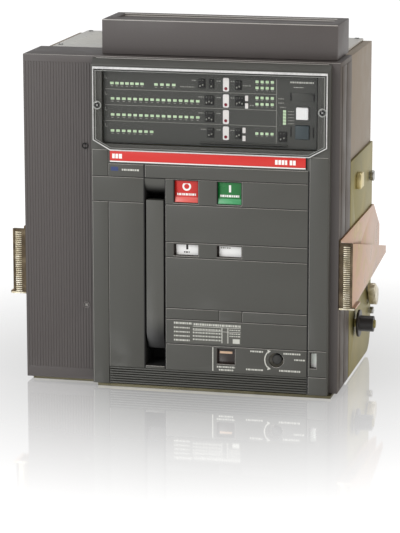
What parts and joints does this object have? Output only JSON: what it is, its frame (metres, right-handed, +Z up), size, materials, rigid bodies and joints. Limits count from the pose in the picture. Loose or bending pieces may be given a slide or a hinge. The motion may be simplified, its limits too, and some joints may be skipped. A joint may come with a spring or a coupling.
{
  "type": "air circuit breaker",
  "caption": "Withdrawable multi-pole air circuit breaker with charging lever, on and off buttons, trip unit behind a clear cover, racking screw and rear jaw terminals.",
  "frame": {"origin": "centre of the bounding box in X and Y, on the underside of the base plate", "axes": "+X to the operator's right, +Y towards the rear terminals, +Z up; the operator stands at -Y"},
  "size_m": [0.438, 0.3056, 0.444],
  "materials": {
    "cover_moulding": "fine matt texture",
    "casing_moulding": "fine matt texture, ribbed on the left",
    "dark_plastic": "satin",
    "clear_plastic": "clear polycarbonate",
    "red_plastic": "semi-gloss",
    "green_plastic": "semi-gloss",
    "white_plastic": "satin",
    "blue_grey_plastic": "satin",
    "insulating_resin": "moulded resin",
    "zinc_steel": "yellow passivated zinc",
    "steel": "machined",
    "copper": "copper, silver-plated at the contacts"
  },
  "bodies": {
    "breaker_body": {"base_plate": "zinc_steel", "side_plate_left": "zinc_steel", "side_plate_right": "zinc_steel", "support_bracket_left": "zinc_steel", "support_bracket_right": "zinc_steel", "bracket_bolt_left": "steel", "bracket_bolt_right": "steel", "front_casing": "casing_moulding", "casing_screw_upper": "dark_plastic", "casing_screw_lower": "dark_plastic", "front_cover": "cover_moulding", "lower_grille": "cover_moulding", "colour_strip": "red_plastic", "trip_unit": "dark_plastic", "rating_plug": "blue_grey_plastic", "trip_cover": "clear_plastic", "trip_cover_screw_left": "steel", "trip_cover_screw_right": "steel", "sliding_contact_block": "dark_plastic", "pole_case": "insulating_resin", "mechanism_frame": "zinc_steel", "closing_spring": "steel", "charging_motor": "dark_plastic", "opening_release": "dark_plastic", "closing_release": "dark_plastic", "auxiliary_contacts": "dark_plastic", "arc_chute_1": "white_plastic", "upper_terminal_1": "copper", "lower_terminal_1": "copper", "current_sensor_1": "dark_plastic", "arc_chute_2": "white_plastic", "upper_terminal_2": "copper", "lower_terminal_2": "copper", "current_sensor_2": "dark_plastic", "arc_chute_3": "white_plastic", "upper_terminal_3": "copper", "lower_terminal_3": "copper", "current_sensor_3": "dark_plastic", "arc_chute_4": "white_plastic", "upper_terminal_4": "copper", "lower_terminal_4": "copper", "current_sensor_4": "dark_plastic"},
    "charging_lever": {"charging_lever": "cover_moulding"},
    "charging_camshaft": {"charging_camshaft": "steel"},
    "spring_flag": {"spring_flag": "white_plastic"},
    "pole_shaft": {"pole_shaft": "steel", "contact_arm_1": "copper", "contact_arm_2": "copper", "contact_arm_3": "copper", "contact_arm_4": "copper"},
    "contact_flag": {"contact_flag": "white_plastic"},
    "off_button": {"off_button": "red_plastic"},
    "on_button": {"on_button": "green_plastic"},
    "test_button": {"test_button": "white_plastic"},
    "racking_lock": {"racking_lock": "white_plastic"},
    "racking_screw": {"racking_screw": "steel"},
    "racking_shaft": {"racking_shaft": "zinc_steel"},
    "racking_flag": {"racking_flag": "white_plastic"},
    "side_roller_left": {"side_roller_left": "dark_plastic"},
    "side_roller_right": {"side_roller_right": "dark_plastic"}
  },
  "joints": [
    {"name": "charging_lever_hinge", "type": "hinge", "parent": "breaker_body", "child": "charging_lever", "pos_m": [-0.0279, -0.1282, 0.056], "axis": [1, 0, 0], "range_deg": [0, 80], "stiffness_Nm_per_rad": 0.25},
    {"name": "camshaft_turn", "type": "hinge", "parent": "breaker_body", "child": "charging_camshaft", "pos_m": [0.005, -0.0812, 0.154], "axis": [1, 0, 0], "range_deg": [0, 180]},
    {"name": "spring_flag_slide", "type": "slide", "parent": "breaker_body", "child": "spring_flag", "axis": [0, 0, 1], "range_m": [0, 0.016]},
    {"name": "pole_shaft_turn", "type": "hinge", "parent": "breaker_body", "child": "pole_shaft", "pos_m": [0, -0.0182, 0.189], "axis": [1, 0, 0], "range_deg": [0, 24]},
    {"name": "contact_flag_slide", "type": "slide", "parent": "breaker_body", "child": "contact_flag", "axis": [0, 0, 1], "range_m": [0, 0.016]},
    {"name": "off_button_press", "type": "slide", "parent": "breaker_body", "child": "off_button", "axis": [0, 1, 0], "range_m": [0, 0.005], "stiffness_N_per_m": 600},
    {"name": "on_button_press", "type": "slide", "parent": "breaker_body", "child": "on_button", "axis": [0, 1, 0], "range_m": [0, 0.005], "stiffness_N_per_m": 600},
    {"name": "test_button_press", "type": "slide", "parent": "breaker_body", "child": "test_button", "axis": [0, 1, 0], "range_m": [0, 0.0015], "stiffness_N_per_m": 500},
    {"name": "racking_lock_press", "type": "slide", "parent": "breaker_body", "child": "racking_lock", "axis": [0, 1, 0], "range_m": [0, 0.004], "stiffness_N_per_m": 500},
    {"name": "racking_screw_turn", "type": "hinge", "parent": "breaker_body", "child": "racking_screw", "pos_m": [0.1211, -0.1442, 0.0445], "axis": [0, 1, 0], "range_deg": [0, 3600]},
    {"name": "racking_shaft_turn", "type": "hinge", "parent": "breaker_body", "child": "racking_shaft", "pos_m": [0, 0.0888, 0.076], "axis": [1, 0, 0], "range_deg": [0, 90]},
    {"name": "racking_flag_slide", "type": "slide", "parent": "breaker_body", "child": "racking_flag", "axis": [0, 0, 1], "range_m": [0, 0.017]},
    {"name": "side_roller_left_spin", "type": "hinge", "parent": "breaker_body", "child": "side_roller_left", "pos_m": [-0.197, -0.0152, 0.0634], "axis": [1, 0, 0], "continuous": true},
    {"name": "side_roller_right_spin", "type": "hinge", "parent": "breaker_body", "child": "side_roller_right", "pos_m": [0.197, -0.0152, 0.0634], "axis": [1, 0, 0], "continuous": true}
  ],
  "couplings": [
    {"joint": "contact_flag_slide", "follows": "pole_shaft_turn", "m_per_rad": 0.0358},
    {"joint": "spring_flag_slide", "follows": "camshaft_turn", "m_per_rad": 0.00477},
    {"joint": "racking_shaft_turn", "follows": "racking_screw_turn", "ratio": 0.025},
    {"joint": "racking_flag_slide", "follows": "racking_screw_turn", "m_per_rad": 0.000254}
  ]
}
